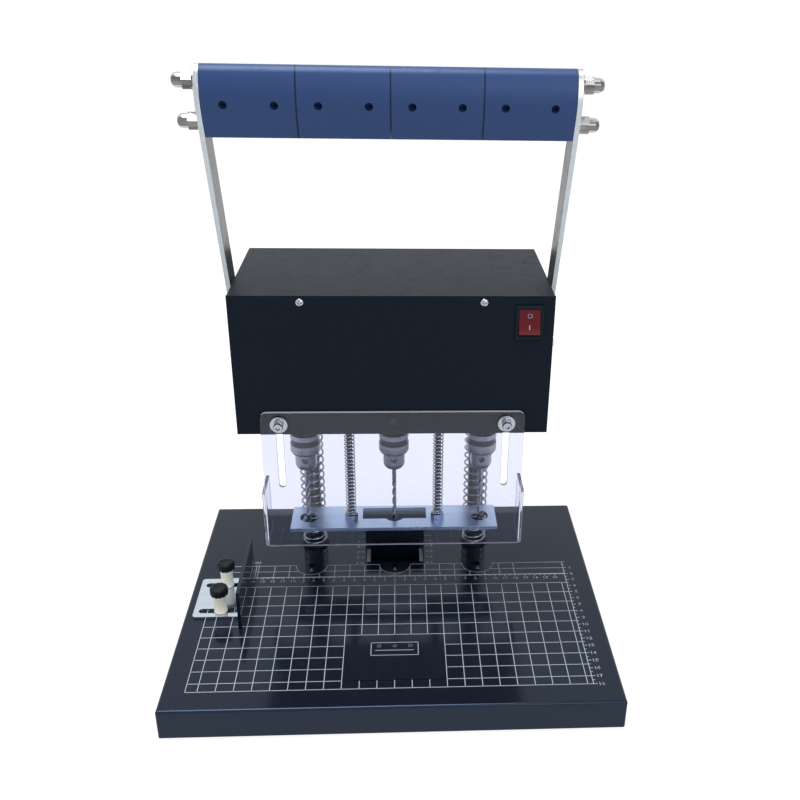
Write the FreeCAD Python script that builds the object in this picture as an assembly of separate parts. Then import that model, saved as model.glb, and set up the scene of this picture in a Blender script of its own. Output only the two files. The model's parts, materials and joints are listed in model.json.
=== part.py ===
import FreeCAD, Part
import math
import os

V = FreeCAD.Vector
X_AXIS = V(1, 0, 0)
Y_AXIS = V(0, 1, 0)
Z_AXIS = V(0, 0, 1)

# Sizes in millimetres
# The working origin is the centre drill hole on the floor
# save() moves every piece so that the base centre becomes the origin
frame_shift_x = 0.0
frame_shift_y = 45.4

# Base
base_x0 = -195.0
base_x1 = 195.0
base_y0 = -202.4
base_y1 = 111.6
foot_height = 3.0
base_top = 31.0
top_sheet = 3.0
skirt_sheet = 2.0
base_corner = 1.6
base_fold = 2.4
drill_pitch = 83.4
paper_hole_r = 3.2
cover_sheet = 1.5

# Guide posts and lift
post_x = 83.0
post_y = 44.5
post_r = 8.0
post_shoulder = 226.0
stub_r = 5.0
yoke_top = 248.0
head_stroke = 53.8
shaft_y = 29.0
shaft_z = 264.0
shaft_r = 6.0
crank_turn = 90.0
crank_r = head_stroke / (2.0 * math.sin(math.radians(crank_turn / 2.0)))
pin_r = 4.0
pin_y = shaft_y + crank_r * math.cos(math.radians(crank_turn / 2.0))
pin_z = shaft_z - head_stroke / 2.0
slot_play = 1.4
crank_x = 97.0
crank_sheet = 5.0

# Head and housing
head_x = 137.0
head_y0 = -49.6
head_y1 = 90.5
head_z0 = 206.0
head_z1 = 334.0
sheet = 1.5
head_plate_top = 212.0
motor_r = 19.0
motor_top = 276.0
rocker_pin_r = 1.5
switch_x = 115.7
switch_z = 310.6

# Chucks and drills
drill_r = 2.0
drill_tip = 84.4
chuck_tip = 144.5
chuck_step = 162.8
chuck_sleeve_top = 173.0
chuck_ring = 178.7
chuck_top = 183.4

# Press plate
plate_x = 100.0
plate_y0 = -20.3
plate_y1 = 19.7
plate_z0 = 85.4
plate_z1 = 89.0
window_x = 31.2
window_y0 = -4.0
window_y1 = 15.6
rod_x = 42.0
rod_y = -3.0
rod_r = 2.75

# Springs
return_turns = 21
return_wire_r = 1.0
return_coil_r = 11.5
press_turns = 28
press_wire_r = 0.65
press_coil_r = 4.3

# Guard
guard_sheet = 3.0
guard_corner = 6.0
guard_y0 = -52.9
guard_top_x = 116.4
guard_low_x = 119.9
guard_z0 = 90.2
guard_z1 = 228.0
wing_top = 145.4
wing_back = -15.5
slot_x = 100.0
slot_r = 3.1
slot_low = 156.5
guard_screw_z = 217.0

# Lever
arm_x = 139.4
arm_sheet = 4.0
arm_half = 12.5
lean = 21.1
grip_low = 218.1
grip_width = 69.6
grip_gap = 0.1

# Side fence and rear stop
fence_x = -142.3
bracket_left = -187.0
fence_top = 70.4
fence_front = -98.0
knob_x = -161.8
front_knob_y = -74.6
rear_knob_y = -34.6
cap_low = 53.2
cap_top = 61.3
stop_front = 27.0
stop_half = 30.0


def box(x0, x1, y0, y1, z0, z1):
    return Part.makeBox(x1 - x0, y1 - y0, z1 - z0, V(x0, y0, z0))


def rod(r, x, y, z0, z1):
    return Part.makeCylinder(r, z1 - z0, V(x, y, z0), Z_AXIS)


def rod_x_axis(r, x0, x1, y, z):
    return Part.makeCylinder(r, x1 - x0, V(x0, y, z), X_AXIS)


def rod_y_axis(r, x, y0, y1, z):
    return Part.makeCylinder(r, y1 - y0, V(x, y0, z), Y_AXIS)


def ring(r_out, r_in, x, y, z0, z1):
    return rod(r_out, x, y, z0, z1).cut(rod(r_in, x, y, z0 - 1, z1 + 1))


def hex_points(across, centre, u, v):
    radius = across / math.sqrt(3.0)
    points = []
    for k in range(7):
        a = math.radians(60.0 * k)
        points.append(centre + u * (radius * math.cos(a)) + v * (radius * math.sin(a)))
    return points


def hex_bar(across, centre, direction, length):
    u = Z_AXIS if abs(direction.z) < 0.5 else X_AXIS
    v = direction.cross(u)
    face = Part.Face(Part.makePolygon(hex_points(across, centre, u, v)))
    return face.extrude(direction * length)


def plate_in_yz(points, x0, x1):
    outline = [V(x0, y, z) for y, z in points]
    outline.append(outline[0])
    return Part.Face(Part.makePolygon(outline)).extrude(V(x1 - x0, 0, 0))


def slot_bar(r, p0, p1, direction):
    along = p1 - p0
    length = along.Length
    along.normalize()
    side = direction.cross(along)
    side.normalize()
    width = side * r
    thick = direction.Length
    unit = V(direction)
    unit.normalize()
    wire = Part.makePolygon([p0 + width, p1 + width, p1 - width, p0 - width, p0 + width])
    body = Part.Face(wire).extrude(direction)
    first = Part.makeCylinder(r, thick, p0, unit)
    last = Part.makeCylinder(r, thick, p1, unit)
    if length < 0.01:
        return first
    return body.fuse([first, last]).removeSplitter()


def mirror_x(shape):
    return shape.mirror(V(0, 0, 0), X_AXIS)


def vertical_edges(shape, x, y):
    found = []
    for edge in shape.Edges:
        a = edge.Vertexes[0].Point
        b = edge.Vertexes[-1].Point
        straight = abs(a.x - b.x) < 1e-6 and abs(a.y - b.y) < 1e-6
        if straight and abs(a.x - x) < 1e-6 and abs(a.y - y) < 1e-6:
            found.append(edge)
    return found


def round_corners(shape, corners, r):
    edges = []
    for x, y in corners:
        edges += vertical_edges(shape, x, y)
    return shape.makeFillet(r, edges)


def save(name, pieces):
    shape = Part.makeCompound(pieces) if isinstance(pieces, list) else pieces
    moved = shape.copy()
    moved.translate(V(frame_shift_x, frame_shift_y, 0))
    moved.exportStep("parts/" + name + ".step")


# Coil springs
# A wound wire is a row of biarcs, two for each half turn of the helix
def helix_point(cx, cy, z0, r, rise, a):
    return V(cx + r * math.cos(a), cy + r * math.sin(a), z0 + rise * a / (2 * math.pi))


def helix_tangent(r, rise, a):
    t = V(-r * math.sin(a), r * math.cos(a), rise / (2 * math.pi))
    t.normalize()
    return t


def arc_between(p, corner, q):
    chord = (p + q) * 0.5
    cos_half = (q - p).Length * 0.5 / (corner - p).Length
    middle = chord + (corner - chord) * (cos_half / (1.0 + cos_half))
    return Part.Arc(p, middle, q).toShape()


def biarc(p0, t0, p1, t1):
    gap = p1 - p0
    both = t0 + t1
    a = both.dot(both) - 4.0
    b = -2.0 * gap.dot(both)
    c = gap.dot(gap)
    d = (-b - math.sqrt(b * b - 4.0 * a * c)) / (2.0 * a)
    if d < 0:
        d = (-b + math.sqrt(b * b - 4.0 * a * c)) / (2.0 * a)
    corner0 = p0 + t0 * d
    corner1 = p1 - t1 * d
    joint = (corner0 + corner1) * 0.5
    return [arc_between(p0, corner0, joint), arc_between(joint, corner1, p1)]


def spring(cx, cy, z_low, z_high, r, wire_r, turns, hand):
    z0 = z_low + wire_r + 0.02
    rise = (z_high - wire_r - 0.02 - z0) / turns
    step = math.pi / 2.0
    edges = []
    count = int(turns * 4)
    for k in range(count):
        a0 = k * step
        a1 = (k + 1) * step
        p0 = helix_point(cx, cy, z0, r, rise, a0)
        p1 = helix_point(cx, cy, z0, r, rise, a1)
        edges += biarc(p0, helix_tangent(r, rise, a0), p1, helix_tangent(r, rise, a1))
    wire = Part.Wire(edges)
    start = helix_point(cx, cy, z0, r, rise, 0)
    circle = Part.Wire(Part.makeCircle(wire_r, start, helix_tangent(r, rise, 0)))
    shell = Part.BRepOffsetAPI.MakePipeShell(wire)
    shell.add(circle)
    shell.build()
    shell.makeSolid()
    coil = shell.shape()
    print("least self gap of", hand, round(self_gap(cx, cy, z0, r, rise, turns) - 2 * wire_r, 2))
    return coil


def self_gap(cx, cy, z0, r, rise, turns):
    points = []
    for k in range(int(turns * 24) + 1):
        points.append(helix_point(cx, cy, z0, r, rise, k * math.pi / 12))
    least = 1e9
    for i in range(0, 24):
        for j in range(i + 12, min(i + 60, len(points))):
            least = min(least, (points[i] - points[j]).Length)
    return least


# Base pieces
def base_tray():
    outer = box(base_x0, base_x1, base_y0, base_y1, foot_height, base_top)
    corners = [(base_x0, base_y0), (base_x1, base_y0), (base_x0, base_y1), (base_x1, base_y1)]
    outer = round_corners(outer, corners, base_corner)
    rim = [e for e in outer.Edges if min(v.Point.z for v in e.Vertexes) > base_top - 0.01]
    outer = outer.makeFillet(base_fold, rim)
    s = skirt_sheet
    inner = box(base_x0 + s, base_x1 - s, base_y0 + s, base_y1 - s, 0, base_top - top_sheet)
    tray = outer.cut(inner)
    cuts = []
    for x in (-drill_pitch, 0, drill_pitch):
        cuts.append(rod(paper_hole_r, x, 0, 20, 40))
    for x in (-post_x, post_x):
        cuts.append(rod(stub_r + 0.05, x, post_y, 20, 40))
    for y in (front_knob_y, rear_knob_y):
        cuts.append(rod(3.05, knob_x, y, 20, 40))
    cuts.append(box(-28.6, 28.6, 5.0, 72.0, 20, 40))
    tray = tray.cut(cuts)
    bosses = []
    for x, y in cover_screw_places():
        bosses.append(ring(5.0, 2.05, x, y, foot_height + cover_sheet, base_top - top_sheet))
    return tray.fuse(bosses).removeSplitter()


def cover_screw_places():
    return [
        (base_x0 + 16, base_y0 + 16),
        (base_x1 - 16, base_y0 + 16),
        (base_x0 + 16, base_y1 - 16),
        (base_x1 - 16, base_y1 - 16),
    ]


def bottom_cover():
    s = skirt_sheet + 0.4
    cover = box(base_x0 + s, base_x1 - s, base_y0 + s, base_y1 - s, foot_height, foot_height + cover_sheet)
    holes = [rod(2.2, x, y, 0, 10) for x, y in cover_screw_places()]
    return cover.cut(holes)


def rubber_feet():
    feet = []
    for x in (base_x0 + 34, base_x1 - 34):
        for y in (base_y0 + 34, base_y1 - 34):
            feet.append(rod(11.0, x, y, 0, foot_height))
    return feet


def base_screws():
    screws = []
    for x, y in cover_screw_places():
        head = rod(4.0, x, y, 0.8, foot_height)
        shank = rod(2.0, x, y, foot_height, 16)
        screws.append(head.fuse(shank).removeSplitter())
    return screws


def guide_post(x):
    foot = rod(stub_r, x, post_y, 14.0, base_top)
    column = rod(post_r, x, post_y, base_top, post_shoulder)
    stub = rod(stub_r, x, post_y, post_shoulder, yoke_top + 8.0)
    return foot.fuse([column, stub]).removeSplitter()


def post_nut(x, z0):
    nut = hex_bar(16.0, V(x, post_y, z0), Z_AXIS, 7.0)
    return nut.cut(rod(stub_r + 0.02, x, post_y, z0 - 1, z0 + 8))


def post_nuts():
    nuts = []
    for x in (-post_x, post_x):
        nuts.append(post_nut(x, base_top - top_sheet - 7.0))
        nuts.append(post_nut(x, yoke_top))
    return nuts


def spring_seat(x):
    return ring(14.0, post_r + 0.05, x, post_y, base_top, base_top + 3.0)


def post_yoke(x):
    body = box(x - 7, x + 7, 36.2, 78.5, post_shoulder, yoke_top)
    slot_z = pin_r + slot_play
    y0 = pin_y - pin_r - 0.5
    y1 = shaft_y + crank_r + pin_r + 0.6
    slot = box(x - 8, x + 8, y0, y1, pin_z - slot_z, pin_z + slot_z)
    bore = rod(stub_r + 0.02, x, post_y, post_shoulder - 1, yoke_top + 1)
    return body.cut([slot, bore])


def stop_guide():
    bar = box(25.2, 28.5, 5.2, 71.8, 19.0, base_top)
    groove = box(25.0, 27.2, 5.0, 72.0, 22.0, 24.8)
    return bar.cut(groove)


def rear_stop():
    upright = box(-stop_half, stop_half, stop_front, stop_front + 2.0, base_top + 0.5, base_top + 29.0)
    edges = []
    for edge in upright.Edges:
        a = edge.Vertexes[0].Point
        b = edge.Vertexes[-1].Point
        if abs(a.y - b.y) > 1.0 and a.z > base_top + 20:
            edges.append(edge)
    upright = upright.makeFillet(3.0, edges)
    neck = box(-24.8, 24.8, stop_front, stop_front + 2.0, 22.4, base_top + 0.5)
    foot = box(-26.8, 26.8, stop_front, stop_front + 22.0, 22.4, 24.4)
    return upright.fuse([neck, foot]).removeSplitter()


def fence_bracket():
    z0 = base_top + 0.3
    plate = box(bracket_left, fence_x, -83.4, -24.2, z0, z0 + 2.5)
    flange = box(fence_x - 2.5, fence_x, -83.4, -24.2, z0, z0 + 24.0)
    body = plate.fuse(flange).removeSplitter()
    body = round_corners(body, [(bracket_left, -83.4), (bracket_left, -24.2)], 3.0)
    cuts = []
    for y in (front_knob_y, rear_knob_y):
        cuts.append(slot_bar(3.3, V(-179.0, y, z0 - 1), V(-148.9, y, z0 - 1), V(0, 0, 5)))
    return body.cut(cuts)


def fence_plate():
    z0 = base_top + 0.3
    plate = box(fence_x, fence_x + 3.0, fence_front, -10.0, z0, fence_top)
    return plate


def fence_knob(y):
    z0 = base_top + 3.1
    screw = rod(3.0, knob_x, y, 18.0, z0)
    stem = rod(5.8, knob_x, y, z0, cap_low)
    cap = rod(8.3, knob_x, y, cap_low, cap_top)
    rims = [e for e in cap.Edges if len(e.Vertexes) == 1 and e.Vertexes[0].Point.z > cap_top - 0.3]
    cap = cap.makeFillet(1.5, rims)
    return screw.fuse([stem, cap]).removeSplitter()


# Head pieces
def head_plate():
    plate = box(-135.2, 135.2, -47.8, 88.7, head_z0, head_plate_top)
    cuts = []
    for x in (-drill_pitch, 0, drill_pitch):
        cuts.append(rod(12.0, x, 0, head_z0 - 1, head_plate_top + 1))
    for x in (-post_x, post_x):
        cuts.append(rod(10.06, x, post_y, head_z0 - 1, head_plate_top + 1))
    for x in (-rod_x, rod_x):
        cuts.append(rod(rod_r + 0.06, x, rod_y, head_z0 - 1, head_plate_top + 1))
    for x, y in motor_screw_places():
        cuts.append(rod(1.55, x, y, head_z0 - 1, head_plate_top + 1))
    for x, y in side_screw_places():
        side = 1 if x > 0 else -1
        x0 = min(side * 126.0, side * 140.0)
        cuts.append(rod_x_axis(1.55, x0, x0 + 14.0, y, head_z0 + 3.0))
    return plate.cut(cuts)


def motor_screw_places():
    places = []
    for x in (-drill_pitch, 0, drill_pitch):
        places.append((x - 15.4, 0))
        places.append((x + 15.4, 0))
    return places


def side_screw_places():
    return [(-head_x, -20), (-head_x, 65), (head_x, -20), (head_x, 65)]


def housing_cover():
    y0 = head_y0 + sheet
    outer = box(-head_x, head_x, y0, head_y1, head_z0, head_z1)
    inner = box(-head_x + sheet, head_x - sheet, y0 - 1, head_y1 - sheet, head_z0 - 1, head_z1 - sheet)
    shell = outer.cut(inner)
    flange = box(-head_x + sheet, head_x - sheet, y0, y0 + sheet, head_z1 - 9.5, head_z1 - sheet)
    shell = shell.fuse(flange).removeSplitter()
    top_rims = []
    for edge in shell.Edges:
        a = edge.Vertexes[0].Point
        b = edge.Vertexes[-1].Point
        on_top = abs(a.z - head_z1) < 1e-6 and abs(b.z - head_z1) < 1e-6
        at_side = abs(abs(a.x) - head_x) < 1e-6 and abs(a.x - b.x) < 1e-6
        at_rear = abs(a.y - head_y1) < 1e-6 and abs(b.y - head_y1) < 1e-6
        if on_top and (at_side or at_rear):
            top_rims.append(edge)
    shell = shell.makeFillet(1.2, top_rims)
    cuts = [rod_x_axis(shaft_r + 0.8, -head_x - 1, head_x + 1, shaft_y, shaft_z)]
    cuts.append(rod_y_axis(6.0, -110.0, head_y1 - 5, head_y1 + 5, 236.0))
    for x, y in side_screw_places():
        side = 1 if x > 0 else -1
        x0 = min(side * 130.0, side * 142.0)
        cuts.append(rod_x_axis(1.55, x0, x0 + 12.0, y, head_z0 + 3.0))
    for x in (-76.8, 76.8):
        cuts.append(rod_y_axis(1.55, x, y0 - 1, y0 + 3, 328.5))
    return shell.cut(cuts)


def front_panel():
    panel = box(-head_x, head_x, head_y0, head_y0 + sheet, head_z0, head_z1)
    panel = panel.cut(switch_block(10.3, head_y0 - 1, head_y0 + 3, 13.4))
    weld_nuts = []
    for x in (-slot_x, slot_x):
        weld_nuts.append(rod_y_axis(4.8, x, head_y0 + sheet, head_y0 + sheet + 5.0, guard_screw_z))
    panel = panel.fuse(weld_nuts)
    cuts = []
    for x in (-76.8, 76.8):
        cuts.append(rod_y_axis(1.55, x, head_y0 - 1, head_y0 + 3, 328.5))
    for x in (-slot_x, slot_x):
        cuts.append(rod_y_axis(3.02, x, head_y0 - 1, head_y0 + 9, guard_screw_z))
    cuts.append(Part.makeCone(3.0, 1.6, sheet, V(0, head_y0, guard_screw_z + 0.5), Y_AXIS))
    return panel.cut(cuts)


def pan_screw(place, direction, length):
    head = Part.makeCylinder(3.4, 2.2, place, direction * -1)
    rims = []
    for edge in head.Edges:
        outer = edge.Vertexes[0].Point - place
        if outer.dot(direction) < -2.1 and len(edge.Vertexes) == 1:
            rims.append(edge)
    head = head.makeFillet(1.0, rims)
    shank = Part.makeCylinder(1.5, length, place, direction)
    return head.fuse(shank).removeSplitter()


def pan_screws():
    screws = []
    for x in (-76.8, 76.8):
        screws.append(pan_screw(V(x, head_y0, 328.5), Y_AXIS, 10.0))
    for x, y in side_screw_places():
        direction = V(-1, 0, 0) if x > 0 else V(1, 0, 0)
        screws.append(pan_screw(V(x, y, head_z0 + 3.0), direction, 10.0))
    for x, y in motor_screw_places():
        screws.append(pan_screw(V(x, y, head_z0), Z_AXIS, 10.0))
    return screws


def centre_screw():
    return Part.makeCone(2.95, 1.55, sheet, V(0, head_y0, guard_screw_z + 0.5), Y_AXIS)


def guide_bush(x):
    sleeve = rod(9.98, x, post_y, 192.0, 222.0)
    flange = rod(14.0, x, post_y, head_plate_top, head_plate_top + 3.0)
    return sleeve.fuse(flange).cut(rod(post_r + 0.05, x, post_y, 190, 224)).removeSplitter()


def motor(x):
    can = rod(motor_r, x, 0, head_plate_top, motor_top)
    rims = [e for e in can.Edges if len(e.Vertexes) == 1]
    can = can.makeFillet(2.0, rims)
    nose = rod(7.0, x, 0, head_plate_top - 1.8, head_plate_top + 1)
    tail = rod(6.5, x, 0, motor_top - 1, motor_top + 3.5)
    tabs = box(x - 13, x - 11.5, -3, 3, motor_top - 1, motor_top + 7)
    tabs2 = box(x + 11.5, x + 13, -3, 3, motor_top - 1, motor_top + 7)
    body = can.fuse([nose, tail, tabs, tabs2]).removeSplitter()
    cuts = [rod(2.55, x, 0, head_plate_top - 3, head_plate_top + 20)]
    for side in (-15.4, 15.4):
        cuts.append(rod(1.55, x + side, 0, head_plate_top - 1, head_plate_top + 4.5))
    return body.cut(cuts)


def shaft_bearing(side):
    x0 = min(side * 120.0, side * 135.2)
    block = box(x0, x0 + 15.2, shaft_y - 12, shaft_y + 12, head_plate_top, shaft_z + 13)
    return block.cut(rod_x_axis(shaft_r + 0.05, x0 - 1, x0 + 17, shaft_y, shaft_z))


def power_supply():
    case = box(-46, 46, 46, 84, head_plate_top, head_plate_top + 46)
    edges = [e for e in case.Edges if min(v.Point.z for v in e.Vertexes) > head_plate_top + 45]
    return case.makeFillet(1.5, edges)


def switch_block(half_x, y0, y1, half_z):
    return box(switch_x - half_x, switch_x + half_x, y0, y1, switch_z - half_z, switch_z + half_z)


def switch_frame():
    y0 = head_y0
    bezel = switch_block(12.0, y0 - 2.2, y0, 15.3)
    rims = [e for e in bezel.Edges if max(v.Point.y for v in e.Vertexes) < y0 - 2.1]
    bezel = bezel.makeFillet(0.8, rims)
    body = switch_block(10.2, y0, y0 + 24.0, 13.3)
    shell = bezel.fuse(body)
    shell = shell.cut(switch_block(9.4, y0 - 3, y0 + 14.0, 11.9))
    bore = rod_x_axis(rocker_pin_r + 0.05, switch_x - 10.5, switch_x + 10.5, y0 + 4.0, switch_z)
    shell = shell.cut(bore)
    for x in (switch_x - 6.5, switch_x, switch_x + 6.5):
        shell = shell.fuse(box(x - 0.4, x + 0.4, y0 + 23, y0 + 31, switch_z - 2, switch_z + 2))
    return shell.removeSplitter()


def switch_rocker():
    cz = switch_z
    cy = head_y0 + 4.0
    front = head_y0 - 4.4
    points = [
        (cy, cz - 10.8),
        (front + 0.6, cz - 10.8),
        (front + 2.4, cz),
        (front + 0.6, cz + 10.8),
        (cy, cz + 10.8),
        (cy + 4.0, cz + 6.0),
        (cy + 4.0, cz - 6.0),
    ]
    body = plate_in_yz(points, switch_x - 9.1, switch_x + 9.1)
    pins = rod_x_axis(rocker_pin_r, switch_x - 10.2, switch_x + 10.2, cy, cz)
    body = body.fuse(pins).removeSplitter()
    body.rotate(V(switch_x, cy, cz), X_AXIS, -7.0)
    return body


def cable_gland():
    x = -110.0
    z = 236.0
    nut = hex_bar(14.0, V(x, head_y1, z), Y_AXIS, 5.0)
    nose = rod_y_axis(6.0, x, head_y1 + 5, head_y1 + 12, z)
    thread = rod_y_axis(5.9, x, head_y1 - 8, head_y1, z)
    lock = hex_bar(16.0, V(x, head_y1 - sheet - 3.0, z), Y_AXIS, 3.0)
    body = nut.fuse([nose, thread, lock])
    return body.cut(rod_y_axis(3.2, x, head_y1 - 10, head_y1 + 14, z)).removeSplitter()


def guard_screw(x):
    head = rod_y_axis(4.2, x, -61.2, -54.4, guard_screw_z)
    socket = hex_bar(4.0, V(x, -61.3, guard_screw_z), Y_AXIS, 3.0)
    shank = rod_y_axis(3.0, x, -54.4, -42.0, guard_screw_z)
    return head.cut(socket).fuse(shank).removeSplitter()


def guard_washer(x):
    disc = rod_y_axis(7.6, x, -54.4, -53.2, guard_screw_z)
    return disc.cut(rod_y_axis(3.02, x, -55, -50, guard_screw_z))


# Guard
def guard():
    y0 = guard_y0
    y1 = guard_y0 + guard_sheet
    upper = box(-guard_top_x, guard_top_x, y0, y1, wing_top - 8.0, guard_z1)
    corners = []
    for edge in upper.Edges:
        a = edge.Vertexes[0].Point
        b = edge.Vertexes[-1].Point
        if abs(a.y - b.y) > 1.0 and a.z > guard_z1 - 1:
            corners.append(edge)
    upper = upper.makeFillet(guard_corner, corners)
    low = box(-guard_low_x, guard_low_x, y0, wing_back, guard_z0, wing_top)
    low = round_corners(low, [(-guard_low_x, y0), (guard_low_x, y0)], 5.0)
    inner_x = guard_low_x - guard_sheet
    hollow = box(-inner_x, inner_x, y1, wing_back + 1, guard_z0 - 1, wing_top + 1)
    hollow = round_corners(hollow, [(-inner_x, y1), (inner_x, y1)], 2.0)
    body = low.cut(hollow).fuse(upper).removeSplitter()
    cuts = []
    for x in (-slot_x, slot_x):
        low_end = V(x, y0 - 1, slot_low)
        cuts.append(slot_bar(slot_r, low_end, V(x, y0 - 1, guard_screw_z), V(0, 6, 0)))
    return body.cut(cuts)


# Spindles
def adapter(x):
    collar = rod(9.5, x, 0, chuck_top, head_plate_top - 2.5)
    screw_hole = rod_y_axis(1.5, x, -10, -6, 196.0)
    shaft = rod(2.5, x, 0, head_plate_top - 2.5, head_plate_top + 18)
    stud = rod(4.5, x, 0, 176.0, chuck_top)
    return collar.cut(screw_hole).fuse([shaft, stud]).removeSplitter()


def chuck_body(x):
    rim = rod(14.0, x, 0, chuck_ring, chuck_top)
    neck = rod(13.4, x, 0, chuck_sleeve_top + 0.05, chuck_ring)
    core = rod(11.9, x, 0, chuck_step, chuck_ring)
    nose = rod(10.2, x, 0, chuck_tip, chuck_step)
    tips = [e for e in nose.Edges if len(e.Vertexes) == 1 and e.Vertexes[0].Point.z < chuck_tip + 1]
    nose = nose.makeFillet(6.6, tips)
    body = rim.fuse([neck, core, nose]).removeSplitter()
    cuts = [rod(drill_r + 0.02, x, 0, chuck_tip - 1, 172.0)]
    cuts.append(rod(4.52, x, 0, 175.9, chuck_top + 1))
    for k in range(3):
        hole = Part.makeCylinder(2.9, 9.0, V(x, 0, 157.0), V(0, -1, 0))
        hole.translate(V(0, -4.0, 0))
        hole.rotate(V(x, 0, 0), Z_AXIS, 120.0 * k)
        cuts.append(hole)
    return body.cut(cuts)


def chuck_sleeve(x):
    band = ring(14.2, 11.95, x, 0, chuck_step, chuck_sleeve_top)
    rims = [e for e in band.Edges if len(e.Vertexes) == 1 and e.Length > 80]
    return band.makeFillet(0.8, rims)


def drill_bit(x):
    shank = rod(drill_r, x, 0, 130.0, 171.8)
    flute = rod(drill_r, x, 0, drill_tip + 1.2, 130.0)
    point = Part.makeCone(0.1, drill_r, 1.2, V(x, 0, drill_tip), Z_AXIS)
    return shank.fuse([flute, point]).removeSplitter()


# Press plate pieces
def press_plate():
    plate = box(-plate_x, plate_x, plate_y0, plate_y1, plate_z0, plate_z1)
    window = box(-window_x, window_x, window_y0, window_y1, plate_z0 - 1, plate_z1 + 1)
    cuts = [window]
    for x in (-drill_pitch, 0, drill_pitch):
        cuts.append(rod(9.0, x, 0, plate_z0 - 1, plate_z1 + 1))
    for x in (-rod_x, rod_x):
        cuts.append(rod(rod_r + 0.02, x, rod_y, plate_z0 - 1, plate_z1 + 1))
    return plate.cut(cuts)


def press_rods():
    return [rod(rod_r, x, rod_y, plate_z0, 228.0) for x in (-rod_x, rod_x)]


def press_nuts():
    nuts = []
    for x in (-rod_x, rod_x):
        for z0 in (plate_z1, head_plate_top + 0.3):
            nut = hex_bar(11.0, V(x, rod_y, z0), Z_AXIS, 6.0)
            nuts.append(nut.cut(rod(rod_r + 0.02, x, rod_y, z0 - 1, z0 + 8)))
    return nuts


# Lever pieces
# They are drawn upright over the shaft and then leaned forward
def leaned(shape):
    shape.rotate(V(0, shaft_y, shaft_z), X_AXIS, lean)
    return shape


def grip_section(x, inset):
    y = shaft_y
    z = shaft_z
    front = y - arm_half + inset
    back = y + 13.5 - inset
    low = z + grip_low + inset
    r = 40.0 - inset
    bend = V(x, front + r, z + grip_low + 18.0)
    c45 = math.sqrt(0.5)
    mid_a = math.radians(22.5)
    arc_mid = V(x, bend.y - r * math.cos(mid_a), bend.z + r * math.sin(mid_a))
    arc_end = V(x, bend.y - r * c45, bend.z + r * c45)
    r2 = 9.0
    cap = V(x, arc_end.y + r2 * c45, arc_end.z - r2 * c45)
    cap_mid = V(x, cap.y - r2 * math.cos(math.radians(75)), cap.z + r2 * math.sin(math.radians(75)))
    cap_end = V(x, cap.y - r2 * math.cos(math.radians(105)), cap.z + r2 * math.sin(math.radians(105)))
    p0 = V(x, front, low)
    p1 = V(x, front, z + grip_low + 18.0)
    p2 = V(x, back, cap_end.z - 6.0)
    p3 = V(x, back, low)
    edges = [
        Part.LineSegment(p0, p1).toShape(),
        Part.Arc(p1, arc_mid, arc_end).toShape(),
        Part.Arc(arc_end, cap_mid, cap_end).toShape(),
        Part.LineSegment(cap_end, p2).toShape(),
        Part.LineSegment(p2, p3).toShape(),
        Part.LineSegment(p3, p0).toShape(),
    ]
    return Part.Face(Part.Wire(edges))


def tie_places():
    return [(shaft_y - 0.5, shaft_z + grip_low + 6.8), (shaft_y + 3.0, shaft_z + grip_low + 37.9)]


def grip_block(k):
    x0 = -2 * grip_width + k * grip_width + grip_gap / 2.0
    width = grip_width - grip_gap
    block = grip_section(x0, 0).extrude(V(width, 0, 0))
    cuts = []
    for y, z in tie_places():
        cuts.append(rod_x_axis(4.02, x0 - 1, x0 + width + 1, y, z))
    for dx in (-18.7, 18.7):
        cx = x0 + width / 2.0 + dx
        cuts.append(rod_y_axis(3.1, cx, shaft_y - 20, shaft_y - 4.8, shaft_z + grip_low + 26.1))
    return leaned(block.cut(cuts))


def arm(side):
    x0 = min(side * arm_x, side * (arm_x + arm_sheet))
    bar = box(x0, x0 + arm_sheet, shaft_y - arm_half, shaft_y + arm_half, shaft_z, shaft_z + grip_low + 1.1)
    hub = rod_x_axis(arm_half, x0, x0 + arm_sheet, shaft_y, shaft_z)
    end = grip_section(x0, 0.3).extrude(V(arm_sheet, 0, 0))
    body = bar.fuse([hub, end]).removeSplitter()
    cuts = [rod_x_axis(shaft_r + 0.02, x0 - 1, x0 + 6, shaft_y, shaft_z)]
    for y, z in tie_places():
        cuts.append(rod_x_axis(4.02, x0 - 1, x0 + 6, y, z))
    return leaned(body.cut(cuts))


def tie_rods():
    rods = []
    reach = arm_x + arm_sheet + 12.0
    for y, z in tie_places():
        rods.append(leaned(rod_x_axis(4.0, -reach, reach, y, z)))
    return rods


def acorn_nut(y, z, side):
    x0 = side * (arm_x + arm_sheet)
    direction = V(side, 0, 0)
    washer = Part.makeCylinder(7.6, 1.4, V(x0, y, z), direction)
    body = hex_bar(13.0, V(x0 + side * 1.4, y, z), direction, 7.0)
    dome = Part.makeCylinder(5.6, 9.1, V(x0 + side * 8.0, y, z), direction)
    rims = [e for e in dome.Edges if abs(e.Vertexes[0].Point.x) > abs(x0) + 17 and len(e.Vertexes) == 1]
    dome = dome.makeFillet(4.6, rims)
    shell = washer.fuse([body, dome]).removeSplitter()
    bore = Part.makeCylinder(4.02, 13.0, V(x0 - side, y, z), direction)
    return leaned(shell.cut(bore))


def acorn_nuts():
    nuts = []
    for side in (-1, 1):
        for y, z in tie_places():
            nuts.append(acorn_nut(y, z, side))
    return nuts


def cross_shaft():
    reach = arm_x + arm_sheet
    return rod_x_axis(shaft_r, -reach, reach, shaft_y, shaft_z)


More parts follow.
